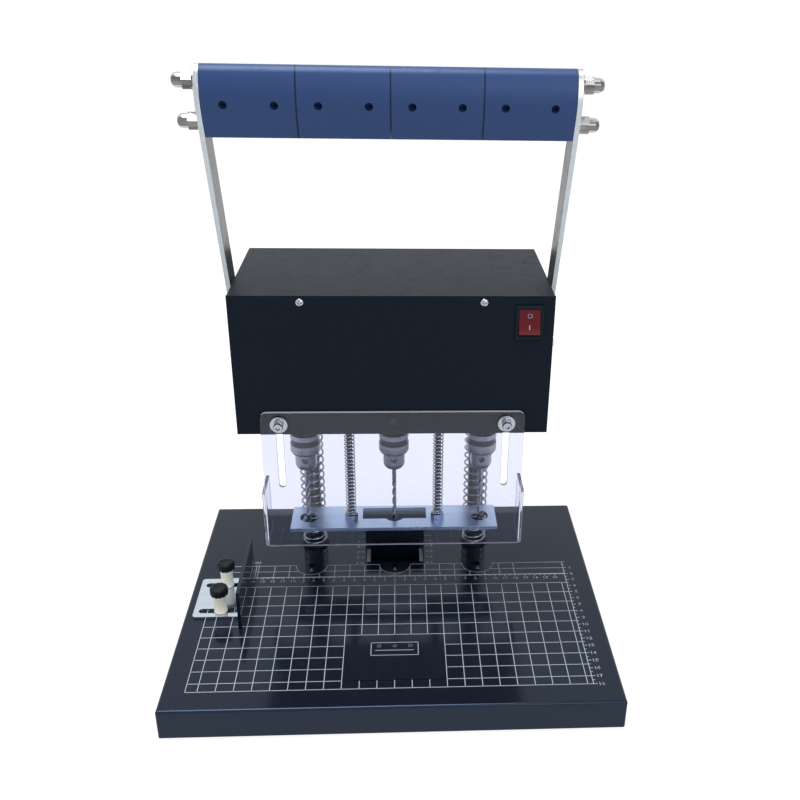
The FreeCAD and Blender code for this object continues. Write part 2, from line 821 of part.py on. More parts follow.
def lift_crank(side):
    x0 = min(side * crank_x, side * (crank_x + crank_sheet))
    hub = V(x0, shaft_y, shaft_z)
    tip = V(x0, pin_y, pin_z)
    bar = slot_bar(7.5, hub, tip, V(crank_sheet, 0, 0))
    boss = rod_x_axis(11.0, x0, x0 + crank_sheet, shaft_y, shaft_z)
    body = bar.fuse(boss).removeSplitter()
    cuts = [rod_x_axis(shaft_r + 0.02, x0 - 1, x0 + 7, shaft_y, shaft_z)]
    cuts.append(rod_x_axis(pin_r + 0.02, x0 - 1, x0 + 7, pin_y, pin_z))
    return body.cut(cuts)


def crank_pin(side):
    x0 = min(side * (post_x - 7.0), side * (crank_x + crank_sheet))
    return rod_x_axis(pin_r, x0, x0 + crank_x + crank_sheet - post_x + 7.0, pin_y, pin_z)


def arm_bolt(side):
    x0 = side * (arm_x + arm_sheet)
    direction = V(side, 0, 0)
    washer = Part.makeCylinder(10.0, 1.6, V(x0, shaft_y, shaft_z), direction)
    head = hex_bar(13.0, V(x0 + side * 1.6, shaft_y, shaft_z), direction, 5.5)
    return washer.fuse(head).removeSplitter()


def build():
    os.makedirs("parts", exist_ok=True)
    save("base_tray", base_tray())
    save("bottom_cover", bottom_cover())
    save("rubber_feet", rubber_feet())
    save("base_screws", base_screws())
    save("guide_posts", [guide_post(-post_x), guide_post(post_x)])
    save("post_nuts", post_nuts())
    save("spring_seats", [spring_seat(-post_x), spring_seat(post_x)])
    save("post_yokes", [post_yoke(-post_x), post_yoke(post_x)])
    coils = []
    for x in (-post_x, post_x):
        coils.append(spring(x, post_y, base_top + 3, head_z0, return_coil_r,
                            return_wire_r, return_turns, "return spring"))
    save("return_springs", coils)
    save("stop_guides", [stop_guide(), mirror_x(stop_guide())])
    save("rear_stop", rear_stop())
    save("fence_bracket", fence_bracket())
    save("fence_plate", fence_plate())
    save("front_fence_knob", fence_knob(front_knob_y))
    save("rear_fence_knob", fence_knob(rear_knob_y))

    save("head_plate", head_plate())
    save("housing_cover", housing_cover())
    save("front_panel", front_panel())
    save("pan_screws", pan_screws())
    save("centre_screw", centre_screw())
    save("guide_bushes", [guide_bush(-post_x), guide_bush(post_x)])
    save("shaft_bearings", [shaft_bearing(-1), shaft_bearing(1)])
    save("power_supply", power_supply())
    save("switch_frame", switch_frame())
    save("switch_rocker", switch_rocker())
    save("cable_gland", cable_gland())
    save("guard_screws", [guard_screw(-slot_x), guard_screw(slot_x)])
    save("guard_washers", [guard_washer(-slot_x), guard_washer(slot_x)])
    save("guard", guard())

    for side, x in (("left", -drill_pitch), ("centre", 0.0), ("right", drill_pitch)):
        save(side + "_motor", motor(x))
        save(side + "_adapter", adapter(x))
        save(side + "_chuck_body", chuck_body(x))
        save(side + "_chuck_sleeve", chuck_sleeve(x))
        save(side + "_drill_bit", drill_bit(x))

    save("press_plate", press_plate())
    save("press_rods", press_rods())
    save("press_nuts", press_nuts())
    coils = []
    for x in (-rod_x, rod_x):
        coils.append(spring(x, rod_y, plate_z1 + 6, head_z0, press_coil_r,
                            press_wire_r, press_turns, "press spring"))
    save("press_springs", coils)

    save("left_arm", arm(-1))
    save("right_arm", arm(1))
    for k in range(4):
        save("grip_block_" + str(k + 1), grip_block(k))
    save("tie_rods", tie_rods())
    save("acorn_nuts", acorn_nuts())
    save("cross_shaft", cross_shaft())
    save("lift_cranks", [lift_crank(-1), lift_crank(1)])
    save("crank_pins", [crank_pin(-1), crank_pin(1)])
    save("arm_bolts", [arm_bolt(-1), arm_bolt(1)])


build()
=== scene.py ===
import json
import math

import bmesh
import bpy
import numpy as np
from mathutils import Matrix, Vector


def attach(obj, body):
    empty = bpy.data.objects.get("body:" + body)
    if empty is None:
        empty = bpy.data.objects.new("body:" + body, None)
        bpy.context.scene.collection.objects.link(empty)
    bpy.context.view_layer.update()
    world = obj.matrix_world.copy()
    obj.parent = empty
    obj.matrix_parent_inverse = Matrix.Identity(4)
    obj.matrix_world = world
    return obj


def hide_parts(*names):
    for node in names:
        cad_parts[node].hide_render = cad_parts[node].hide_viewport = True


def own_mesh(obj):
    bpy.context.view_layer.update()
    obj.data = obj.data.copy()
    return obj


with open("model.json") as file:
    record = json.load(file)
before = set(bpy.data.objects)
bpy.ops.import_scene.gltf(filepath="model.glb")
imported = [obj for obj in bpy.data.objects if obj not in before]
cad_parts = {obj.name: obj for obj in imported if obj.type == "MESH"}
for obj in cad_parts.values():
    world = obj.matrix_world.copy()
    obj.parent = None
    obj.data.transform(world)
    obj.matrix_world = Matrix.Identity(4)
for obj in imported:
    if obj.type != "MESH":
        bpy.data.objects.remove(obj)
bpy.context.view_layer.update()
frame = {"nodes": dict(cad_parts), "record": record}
nodes = frame["nodes"]
bpy.context.scene.view_settings.view_transform = "Standard"

# Sizes in millimetres, measured from the centre drill hole at table height
SHIFT = np.array([0.0, 45.4, 0.0])
BASE_TOP = 31.0
PITCH = 83.4
HOLES = (-PITCH, 0.0, PITCH)
SIDES = ("left", "centre", "right")
TAU = 2 * math.pi


def metres(points):
    """Millimetres from the centre drill hole become metres from the base centre."""
    return (np.asarray(points, float) + SHIFT) / 1000.0


# Camera: its place in millimetres, its focal length in pixels, three angles and the axis's offset in pixels
PHOTO_WIDE = 800.0
SENSOR = 36.0
CAMERA_AT = (4.883, -804.798, 594.465)
FOCAL_PX = 954.29
DOWN, TURN, ROLL = 0.4507, 0.0628, -0.0220
AXIS_PX = (52.87, 10.36)


def add_camera():
    """A pinhole camera at the photograph's place, looking down, turned and rolled by the fitted angles."""
    look = Vector((math.sin(TURN) * math.cos(DOWN), math.cos(TURN) * math.cos(DOWN), -math.sin(DOWN)))
    level = Vector((math.cos(TURN), -math.sin(TURN), 0.0))
    drop = look.cross(level)
    right = math.cos(ROLL) * level + math.sin(ROLL) * drop
    down = -math.sin(ROLL) * level + math.cos(ROLL) * drop
    data = bpy.data.cameras.new("camera")
    data.sensor_width = SENSOR
    data.lens = FOCAL_PX / PHOTO_WIDE * SENSOR
    data.shift_x = -AXIS_PX[0] / PHOTO_WIDE
    data.shift_y = AXIS_PX[1] / PHOTO_WIDE
    data.clip_start = 0.01
    camera = bpy.data.objects.new("camera", data)
    bpy.context.scene.collection.objects.link(camera)
    place = metres(CAMERA_AT)
    turn = Matrix((right, -down, -look)).transposed()
    camera.matrix_world = Matrix.Translation(Vector(place)) @ turn.to_4x4()
    bpy.context.scene.camera = camera


# Shader helpers: the colour sockets of a Mix node, and the least cosine that counts as facing along an axis
MIX_A, MIX_B, MIX_OUT = 6, 7, 2
FACES_ALONG = 0.6


def node_tree(owner):
    """The empty node tree of a material or world."""
    owner.use_nodes = True
    tree = owner.node_tree
    tree.nodes.clear()
    return tree


def put(tree, kind, values=None, **settings):
    """One shader node, with its settings and the values of its unlinked sockets."""
    node = tree.nodes.new("ShaderNode" + kind)
    for key, value in settings.items():
        setattr(node, key, value)
    for key, value in (values or {}).items():
        node.inputs[key].default_value = value
    return node


def new_group(name, inputs, outputs):
    """An empty node group with float sockets unless a socket's kind is given."""
    group = bpy.data.node_groups.new(name, "ShaderNodeTree")
    for title, kind in inputs:
        group.interface.new_socket(name=title, in_out="INPUT", socket_type="NodeSocket" + kind)
    for title, kind in outputs:
        group.interface.new_socket(name=title, in_out="OUTPUT", socket_type="NodeSocket" + kind)
    return group, group.nodes.new("NodeGroupInput"), group.nodes.new("NodeGroupOutput")


def grain_group():
    """Noise on object coordinates at a scale per metre: a mask from 0 to 1 and a bumped normal."""
    group, start, end = new_group(
        "grain",
        [("Scale", "Float"), ("Stretch", "Vector"), ("Detail", "Float"), ("Bump", "Float")],
        [("Mask", "Float"), ("Normal", "Vector")],
    )
    link = group.links.new
    place = put(group, "TexCoord")
    size = put(group, "VectorMath", operation="SCALE")
    stretch = put(group, "VectorMath", operation="MULTIPLY")
    noise = put(group, "TexNoise", {"Scale": 1.0, "Roughness": 0.55})
    spread = put(group, "MapRange", {"From Min": 0.28, "From Max": 0.72})
    bump = put(group, "Bump", {"Distance": 0.0002})
    link(place.outputs["Object"], stretch.inputs[0])
    link(start.outputs["Stretch"], stretch.inputs[1])
    link(stretch.outputs[0], size.inputs[0])
    link(start.outputs["Scale"], size.inputs["Scale"])
    link(size.outputs[0], noise.inputs["Vector"])
    link(start.outputs["Detail"], noise.inputs["Detail"])
    link(noise.outputs["Fac"], spread.inputs["Value"])
    link(noise.outputs["Fac"], bump.inputs["Height"])
    link(start.outputs["Bump"], bump.inputs["Strength"])
    link(spread.outputs["Result"], end.inputs["Mask"])
    link(bump.outputs["Normal"], end.inputs["Normal"])
    return group


def wear_group():
    """Two large soft noises multiplied: a mask of handling marks and dust that is mostly 0."""
    group, start, end = new_group("wear", [("Scale", "Float")], [("Mask", "Float")])
    link = group.links.new
    place = put(group, "TexCoord")
    size = put(group, "VectorMath", operation="SCALE")
    wide = put(group, "TexNoise", {"Scale": 1.0, "Detail": 3.0, "Roughness": 0.6})
    fine = put(group, "TexNoise", {"Scale": 9.0, "Detail": 2.0})
    both = put(group, "Math", operation="MULTIPLY")
    spread = put(group, "MapRange", {"From Min": 0.26, "From Max": 0.5})
    link(place.outputs["Object"], size.inputs[0])
    link(start.outputs["Scale"], size.inputs["Scale"])
    link(size.outputs[0], wide.inputs["Vector"])
    link(size.outputs[0], fine.inputs["Vector"])
    link(wide.outputs["Fac"], both.inputs[0])
    link(fine.outputs["Fac"], both.inputs[1])
    link(both.outputs[0], spread.inputs["Value"])
    link(spread.outputs["Result"], end.inputs["Mask"])
    return group


def facing_group():
    """One where the surface faces along an axis either way, and zero elsewhere, from the true normal."""
    group, start, end = new_group("facing", [("Axis", "Vector")], [("Mask", "Float")])
    link = group.links.new
    shape = put(group, "NewGeometry")
    turn = put(group, "VectorTransform", vector_type="NORMAL", convert_from="WORLD", convert_to="OBJECT")
    along = put(group, "VectorMath", operation="DOT_PRODUCT")
    either = put(group, "Math", operation="ABSOLUTE")
    most = put(group, "Math", {1: FACES_ALONG}, operation="GREATER_THAN")
    link(shape.outputs["True Normal"], turn.inputs[0])
    link(turn.outputs[0], along.inputs[0])
    link(start.outputs["Axis"], along.inputs[1])
    link(along.outputs["Value"], either.inputs[0])
    link(either.outputs[0], most.inputs[0])
    link(most.outputs[0], end.inputs["Mask"])
    return group


GRAIN = grain_group()
WEAR = wear_group()
FACING = facing_group()


def finish(name, tone, second, rough, grain, metal=0.0, worn=(60.0, 0.12), **fixed):
    """A procedural finish on one Principled shader.

    The grain mask blends two tones and moves the roughness between its two limits, the wear mask
    adds a little roughness in patches, and the grain's normal gives the fine relief.
    grain is (scale per metre, stretch, detail, bump strength), worn is (scale per metre, roughness
    added), and fixed holds values of the shader's own sockets.
    """
    material = bpy.data.materials.new(name)
    tree = node_tree(material)
    link = tree.links.new
    out = put(tree, "OutputMaterial")
    shader = put(tree, "BsdfPrincipled", {"Metallic": metal})
    for key, value in fixed.items():
        shader.inputs[key.replace("_", " ")].default_value = value
    scale, stretch, detail, bump = grain
    fine = put(tree, "Group", node_tree=GRAIN)
    for key, value in (("Scale", scale), ("Stretch", stretch), ("Detail", detail), ("Bump", bump)):
        fine.inputs[key].default_value = value
    patch = put(tree, "Group", node_tree=WEAR)
    patch.inputs["Scale"].default_value = worn[0]
    blend = put(tree, "Mix", data_type="RGBA")
    blend.inputs[MIX_A].default_value = (*tone, 1)
    blend.inputs[MIX_B].default_value = (*second, 1)
    polish = put(tree, "MapRange", {"To Min": rough[0], "To Max": rough[1]})
    add = put(tree, "Math", {1: worn[1]}, operation="MULTIPLY_ADD")
    link(fine.outputs["Mask"], blend.inputs[0])
    link(fine.outputs["Mask"], polish.inputs["Value"])
    link(patch.outputs["Mask"], add.inputs[0])
    link(polish.outputs["Result"], add.inputs[2])
    link(blend.outputs[MIX_OUT], shader.inputs["Base Color"])
    link(add.outputs[0], shader.inputs["Roughness"])
    link(fine.outputs["Normal"], shader.inputs["Normal"])
    link(shader.outputs[0], out.inputs[0])
    return material


def blend_over(material, mask, tone):
    """Blends a tone over a finish's colour by a mask from 0 to 1."""
    tree = material.node_tree
    shader = next(node for node in tree.nodes if node.type == "BSDF_PRINCIPLED")
    blend = put(tree, "Mix", data_type="RGBA")
    blend.inputs[MIX_B].default_value = (*tone, 1)
    tree.links.new(mask, blend.inputs[0])
    tree.links.new(shader.inputs["Base Color"].links[0].from_socket, blend.inputs[MIX_A])
    tree.links.new(blend.outputs[MIX_OUT], shader.inputs["Base Color"])
    return material


def faced(material, axis, tone):
    """Gives the faces along one axis of a finish another tone: painted light or shade that depends on which
    way a face looks.
    """
    mask = put(material.node_tree, "Group", node_tree=FACING)
    mask.inputs["Axis"].default_value = axis
    return blend_over(material, mask.outputs["Mask"], tone)


def banded(material, low, high, dark, along="Z"):
    """Paints a dark band of shade over a finish between two places in metres along an axis on object
    coordinates.
    """
    tree = material.node_tree
    place = put(tree, "TexCoord")
    split = put(tree, "SeparateXYZ")
    above = put(tree, "Math", {1: low}, operation="GREATER_THAN")
    below = put(tree, "Math", {1: high}, operation="LESS_THAN")
    inside = put(tree, "Math", operation="MULTIPLY")
    tree.links.new(place.outputs["Object"], split.inputs[0])
    tree.links.new(split.outputs[along], above.inputs[0])
    tree.links.new(split.outputs[along], below.inputs[0])
    tree.links.new(above.outputs[0], inside.inputs[0])
    tree.links.new(below.outputs[0], inside.inputs[1])
    return blend_over(material, inside.outputs[0], dark)


ROUND = (1.0, 1.0, 1.0)
ALONG_X = (0.03, 1.0, 1.0)
ALONG_Z = (1.0, 1.0, 0.03)

FINISHES = {
    "base_coat": dict(tone=(0.0045, 0.0065, 0.012), second=(0.007, 0.0095, 0.017), rough=(0.1, 0.16),
                      grain=(900.0, ROUND, 3.0, 0.04), worn=(40.0, 0.05), IOR=1.41,
                      Specular_Tint=(0.45, 0.66, 1.0, 1.0)),
    "cover_coat": dict(tone=(0.0038, 0.0058, 0.0098), second=(0.0085, 0.012, 0.0185), rough=(0.32, 0.48),
                       grain=(1700.0, ROUND, 2.0, 0.5), IOR=1.18, Specular_Tint=(0.5, 0.72, 1.0, 1.0)),
    "dark_sheet": dict(tone=(0.012, 0.013, 0.015), second=(0.022, 0.023, 0.025), rough=(0.4, 0.55),
                       grain=(700.0, ROUND, 3.0, 0.15)),
    "gloss_black": dict(tone=(0.002, 0.005, 0.010), second=(0.004, 0.008, 0.014), rough=(0.01, 0.03),
                        grain=(500.0, ROUND, 2.0, 0.01), worn=(50.0, 0.01), IOR=1.5,
                        Specular_Tint=(0.4, 0.7, 1.0, 1.0)),
    "rubber": dict(tone=(0.014, 0.014, 0.014), second=(0.024, 0.024, 0.024), rough=(0.7, 0.85),
                   grain=(1500.0, ROUND, 3.0, 0.4)),
    "bright_steel": dict(tone=(0.1, 0.12, 0.155), second=(0.17, 0.195, 0.24), rough=(0.14, 0.26),
                         grain=(1500.0, ALONG_Z, 3.0, 0.06), metal=1.0),
    "spring_steel": dict(tone=(0.22, 0.245, 0.285), second=(0.38, 0.41, 0.45), rough=(0.18, 0.3),
                         grain=(1200.0, ROUND, 3.0, 0.1), metal=1.0),
    "coil_steel": dict(tone=(0.4, 0.43, 0.48), second=(0.6, 0.63, 0.68), rough=(0.16, 0.28),
                       grain=(1200.0, ROUND, 3.0, 0.1), metal=1.0),
    "zinc": dict(tone=(0.50, 0.64, 0.82), second=(0.62, 0.75, 0.92), rough=(0.24, 0.38),
                 grain=(700.0, ALONG_X, 4.0, 0.08), metal=1.0, worn=(70.0, 0.2)),
    "pale_zinc": dict(tone=(0.52, 0.6, 0.68), second=(0.62, 0.69, 0.76), rough=(0.1, 0.18),
                      grain=(700.0, ALONG_X, 4.0, 0.03), metal=1.0, worn=(70.0, 0.08)),
    "arm_zinc": dict(tone=(0.42, 0.46, 0.49), second=(0.54, 0.58, 0.61), rough=(0.26, 0.4),
                     grain=(600.0, ALONG_Z, 4.0, 0.1), metal=1.0, worn=(60.0, 0.2)),
    "chrome": dict(tone=(0.32, 0.34, 0.39), second=(0.46, 0.48, 0.54), rough=(0.08, 0.18),
                   grain=(900.0, ROUND, 3.0, 0.05), metal=1.0),
    # Acorn nuts: the dark and light tones, in patches near the size of a nut, are painted reflections on
    # the chrome
    "nut_chrome_painted_reflections": dict(tone=(0.1, 0.095, 0.092), second=(0.3, 0.29, 0.285), rough=(0.1, 0.2),
                       grain=(160.0, (0.2, 1.0, 1.6), 1.0, 0.05), metal=1.0),
    "black_steel": dict(tone=(0.02, 0.021, 0.024), second=(0.04, 0.042, 0.047), rough=(0.28, 0.42),
                        grain=(1200.0, ROUND, 3.0, 0.15), metal=0.7),
    "chuck_steel": dict(tone=(0.24, 0.245, 0.28), second=(0.36, 0.365, 0.4), rough=(0.26, 0.4),
                        grain=(1300.0, (0.3, 0.3, 3.0), 3.0, 0.12), metal=1.0, worn=(120.0, 0.15)),
    "drill_steel": dict(tone=(0.2, 0.21, 0.24), second=(0.32, 0.33, 0.37), rough=(0.18, 0.3),
                        grain=(1500.0, ROUND, 3.0, 0.08), metal=1.0),
    "bronze": dict(tone=(0.4, 0.25, 0.1), second=(0.5, 0.33, 0.15), rough=(0.32, 0.45),
                   grain=(900.0, ROUND, 3.0, 0.1), metal=1.0),
    "alloy": dict(tone=(0.5, 0.5, 0.52), second=(0.6, 0.6, 0.62), rough=(0.3, 0.42),
                  grain=(800.0, ROUND, 3.0, 0.1), metal=1.0),
    "clear": dict(tone=(0.70, 0.72, 0.86), second=(0.73, 0.75, 0.88), rough=(0.0, 0.015),
                  grain=(300.0, ROUND, 1.0, 0.0), worn=(30.0, 0.01), Transmission_Weight=1.0, IOR=1.37),
    "sawn_clear": dict(tone=(0.3, 0.32, 0.36), second=(0.42, 0.44, 0.49), rough=(0.4, 0.6),
                       grain=(900.0, ALONG_X, 3.0, 0.2)),
    "grip_blue": dict(tone=(0.018, 0.038, 0.118), second=(0.026, 0.05, 0.145), rough=(0.34, 0.44),
                      grain=(1600.0, ROUND, 3.0, 0.12), IOR=1.38, Specular_Tint=(0.6, 0.8, 1.0, 1.0)),
    "strip_grey": dict(tone=(0.2, 0.22, 0.24), second=(0.27, 0.29, 0.31), rough=(0.4, 0.55),
                       grain=(1200.0, ROUND, 3.0, 0.1)),
    "black_plastic": dict(tone=(0.003, 0.0035, 0.006), second=(0.006, 0.007, 0.010), rough=(0.34, 0.48),
                          grain=(1800.0, ROUND, 3.0, 0.25), IOR=1.25, Specular_Tint=(0.7, 0.85, 1.0, 1.0)),
    "grey_plastic": dict(tone=(0.36, 0.39, 0.42), second=(0.44, 0.47, 0.5), rough=(0.4, 0.55),
                         grain=(1200.0, ROUND, 3.0, 0.1)),
    "cream_plastic": dict(tone=(0.86, 0.81, 0.68), second=(0.93, 0.88, 0.75), rough=(0.4, 0.5),
                          grain=(600.0, ROUND, 3.0, 0.1), Subsurface_Weight=0.15, Subsurface_Scale=0.003),
    "red_plastic": dict(tone=(0.085, 0.003, 0.007), second=(0.11, 0.005, 0.011), rough=(0.16, 0.24),
                        grain=(600.0, ROUND, 2.0, 0.05), IOR=1.25),
    "ink": dict(tone=(0.36, 0.41, 0.47), second=(0.5, 0.55, 0.61), rough=(0.4, 0.55),
                grain=(2500.0, ROUND, 3.0, 0.05)),
}

# Painted shade over some finishes, in metres on object coordinates: a dark band above each chuck's sleeve
# and dark lines at the grip's seams
CHUCK_SHADE_BAND = (0.173, 0.1787)
CHUCK_SHADE_TONE = (0.045, 0.05, 0.06)
GRIP_SEAMS = (-0.0696, 0.0, 0.0696)
SEAM_SHADE_HALF = 0.00065
SEAM_SHADE_TONE = (0.003, 0.006, 0.025)

looks = {name: finish(name, **values) for name, values in FINISHES.items()}
# Painted shade: a dark band on each chuck's body just above the sleeve, where the gap under the rim lies in
# shadow
looks["chuck_painted_shade"] = banded(finish("chuck_painted_shade", **FINISHES["chuck_steel"]), *CHUCK_SHADE_BAND, CHUCK_SHADE_TONE)
# Painted dark reflection: the arms' broad faces, which look along X, get a dark grey in place of the zinc,
# as if they mirrored a dark room
faced(looks["arm_zinc"], (1.0, 0.0, 0.0), (0.1, 0.1, 0.1))
# Painted highlight: the acorn nuts' faces that look up or down get a light tone
faced(looks["nut_chrome_painted_reflections"], (0.0, 0.0, 1.0), (0.5, 0.49, 0.48))
# Painted shade: a thin dark line on the grip blocks at each seam, where the gaps between the blocks lie in
# shade
for seam in GRIP_SEAMS:
    banded(looks["grip_blue"], seam - SEAM_SHADE_HALF, seam + SEAM_SHADE_HALF, SEAM_SHADE_TONE, "X")


# Light and floor
WHITE = (1, 1, 1, 1)
ROOM_TONE, ROOM_LIGHT = (0.84, 0.92, 1.0, 1), 0.5
FLOOR_HALF = 4.0
FLOOR_PAINT, FLOOR_SHADE, FLOOR_GLOW = 0.8, 0.2, 0.9


def add_area(name, at, aim, size, power):
    """A white rectangular lamp that stands at one point and looks at another, both in metres."""
    data = bpy.data.lights.new(name, "AREA")
    data.shape = "RECTANGLE"
    data.size, data.size_y = size
    data.energy = power
    lamp = bpy.data.objects.new(name, data)
    bpy.context.scene.collection.objects.link(lamp)
    at = Vector(at)
    lamp.location = at
    lamp.rotation_euler = (Vector(aim) - at).to_track_quat("-Z", "Y").to_euler()


def seen_directly(tree):
    """One for a camera, glossy or transmission ray, and zero for the light that falls on the object."""
    path = put(tree, "LightPath")
    either = put(tree, "Math", operation="MAXIMUM")
    more = put(tree, "Math", operation="MAXIMUM")
    tree.links.new(path.outputs["Is Camera Ray"], either.inputs[0])
    tree.links.new(path.outputs["Is Glossy Ray"], either.inputs[1])
    tree.links.new(either.outputs[0], more.inputs[0])
    tree.links.new(path.outputs["Is Transmission Ray"], more.inputs[1])
    return more.outputs[0]


def add_world():
    """A cool room lights the object, and plain white shows to the camera, in mirrors and through glass."""
    world = bpy.data.worlds.new("studio")
    bpy.context.scene.world = world
    tree = node_tree(world)
    link = tree.links.new
    out = put(tree, "OutputWorld")
    room = put(tree, "Background", {"Color": ROOM_TONE, "Strength": ROOM_LIGHT})
    seen = put(tree, "Background", {"Color": WHITE, "Strength": 1.0})
    mix = put(tree, "MixShader")
    link(seen_directly(tree), mix.inputs[0])
    link(room.outputs[0], mix.inputs[1])
    link(seen.outputs[0], mix.inputs[2])
    link(mix.outputs[0], out.inputs[0])


def add_floor():
    """A plain white floor that keeps the object's shadow.

    Where the camera, a mirror or glass shows it, a faint shaded paint is added to a glow.
    """
    half = FLOOR_HALF
    corners = [(-half, -half, 0), (half, -half, 0), (half, half, 0), (-half, half, 0)]
    mesh = bpy.data.meshes.new("floor")
    mesh.from_pydata(corners, [], [(0, 1, 2, 3)])
    floor = bpy.data.objects.new("floor", mesh)
    bpy.context.scene.collection.objects.link(floor)
    material = bpy.data.materials.new("pale_floor")
    tree = node_tree(material)
    link = tree.links.new
    out = put(tree, "OutputMaterial")
    paint = put(tree, "BsdfDiffuse", {"Color": (FLOOR_PAINT, FLOOR_PAINT, FLOOR_PAINT, 1)})
    shade = put(tree, "BsdfDiffuse", {"Color": (FLOOR_SHADE, FLOOR_SHADE, FLOOR_SHADE, 1)})
    glow = put(tree, "Emission", {"Color": WHITE, "Strength": FLOOR_GLOW})
    both = put(tree, "AddShader")
    mix = put(tree, "MixShader")
    link(seen_directly(tree), mix.inputs[0])
    link(shade.outputs[0], both.inputs[0])
    link(glow.outputs[0], both.inputs[1])
    link(paint.outputs[0], mix.inputs[1])
    link(both.outputs[0], mix.inputs[2])
    link(mix.outputs[0], out.inputs[0])
    floor.data.materials.append(material)


# Mesh helpers
def grid(rows, cols, loop_rows=False, loop_cols=True):
    """Quads between neighbours in a table of rows by cols points.

    A looped direction joins its last line to its first.
    """
    down, across = np.meshgrid(
        np.arange(rows if loop_rows else rows - 1),
        np.arange(cols if loop_cols else cols - 1),
        indexing="ij",
    )
    here = down * cols
    there = ((down + 1) % rows) * cols
    beside = (across + 1) % cols
    return np.stack([here + across, here + beside, there + beside, there + across], -1).reshape(-1, 4)


def caps(rows, sides):
    """Triangle fans that close both ends of a tube of rows by sides points.

    The fans' two middle points stand after the tube's own points.
    """
    ring = np.arange(sides)
    after = (ring + 1) % sides
    last = (rows - 1) * sides
    count = rows * sides
    first = np.stack([after, ring, np.full(sides, count)], -1)
    return [first, np.stack([last + ring, last + after, np.full(sides, count + 1)], -1)]


def turned(profile, sides, shaped=None):
    """A solid of revolution about Z: each (radius, height) of the profile makes a ring.

    The profile's two ends lie on the axis. shaped, if given, changes the table of radii and heights
    by angle, for teeth, flats and recesses. The table leaves the two ends out.
    """
    profile = np.asarray(profile, float)
    angle = np.arange(sides) * TAU / sides
    radius = profile[1:-1, :1] + np.zeros((1, sides))
    height = profile[1:-1, 1:] + np.zeros((1, sides))
    if shaped:
        radius, height = shaped(radius, height, angle[None, :])
    points = np.stack([radius * np.cos(angle), radius * np.sin(angle), height], -1).reshape(-1, 3)
    ends = [[0, 0, profile[0, 1]], [0, 0, profile[-1, 1]]]
    rows = len(profile) - 2
    return np.vstack([points, ends]), [grid(rows, sides), *caps(rows, sides)]


def turned_ring(profile, sides, shaped=None):
    """A ring of revolution about Z: the profile is a closed loop that goes up outside and down inside.

    shaped works as in turned, over the whole profile.
    """
    profile = np.asarray(profile, float)
    angle = np.arange(sides) * TAU / sides
    radius = profile[:, :1] + np.zeros((1, sides))
    height = profile[:, 1:] + np.zeros((1, sides))
    if shaped:
        radius, height = shaped(radius, height, angle[None, :])
    points = np.stack([radius * np.cos(angle), radius * np.sin(angle), height], -1).reshape(-1, 3)
    return points, [grid(len(profile), sides, loop_rows=True)]


def tube(centres, across, upward, radius, sides):
    """A round wire: at each centre a circle in the plane of the two unit vectors, closed at both ends."""
    turn = (np.arange(sides) * TAU / sides)[None, :, None]
    ring = np.cos(turn) * across[:, None, :] + np.sin(turn) * upward[:, None, :]
    points = (centres[:, None, :] + radius * ring).reshape(-1, 3)
    points = np.vstack([points, centres[:1], centres[-1:]])
    return points, [grid(len(centres), sides), *caps(len(centres), sides)]


def box_shape(x0, x1, y0, y1, z0, z1):
    """The eight corners and six faces of a box."""
    x, y, z = np.meshgrid([x0, x1], [y0, y1], [z0, z1], indexing="ij")
    points = np.stack([x.ravel(), y.ravel(), z.ravel()], -1)
    sides = [[0, 4, 5, 1], [2, 3, 7, 6], [0, 2, 6, 4], [1, 5, 7, 3]]
    return points, [np.array([[0, 1, 3, 2], [4, 6, 7, 5], *sides])]


def gather(parts):
    """Several shapes as one: their points in a row and their faces counted on."""
    points, faces, start = [], [], 0
    for part_points, part_faces in parts:
        points.append(part_points)
        faces += [block + start for block in part_faces]
        start += len(part_points)
    return np.vstack(points), faces


def moved(shape, at=(0, 0, 0), axis=(0, 0, 1)):
    """A shape with its Z axis turned to the given axis and its origin put at a point."""
    w = Vector(axis).normalized()
    u = Vector((1, 0, 0)) if abs(w.x) < 0.5 else Vector((0, 1, 0))
    v = w.cross(u).normalized()
    u = v.cross(w)
    points, faces = shape
    return points @ np.array([u, v, w]) + np.array(at, float), faces


def add_piece(name, shape, body, slot_name, replaced=(), look=None, crease=35.0):
    """A new mesh object from a shape in millimetres.

    It is dressed, rides on its body and stands for the CAD nodes in replaced.
    """
    points, faces = shape
    rows = [face for block in faces for face in block.tolist()]
    mesh = bpy.data.meshes.new(name)
    mesh.from_pydata(metres(points).tolist(), [], rows)
    mesh.shade_smooth()
    mesh.set_sharp_from_angle(angle=math.radians(crease))
    mesh.materials.append(look or looks[slot_name])
    piece = bpy.data.objects.new(name, mesh)
    bpy.context.scene.collection.objects.link(piece)
    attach(piece, body)
    if replaced:
        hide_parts(*replaced)
    return piece


MERGE_DIST = 2e-6
FLAT_DEG, SHARP_DEG, BEVEL_DEG = 0.6, 50, 40


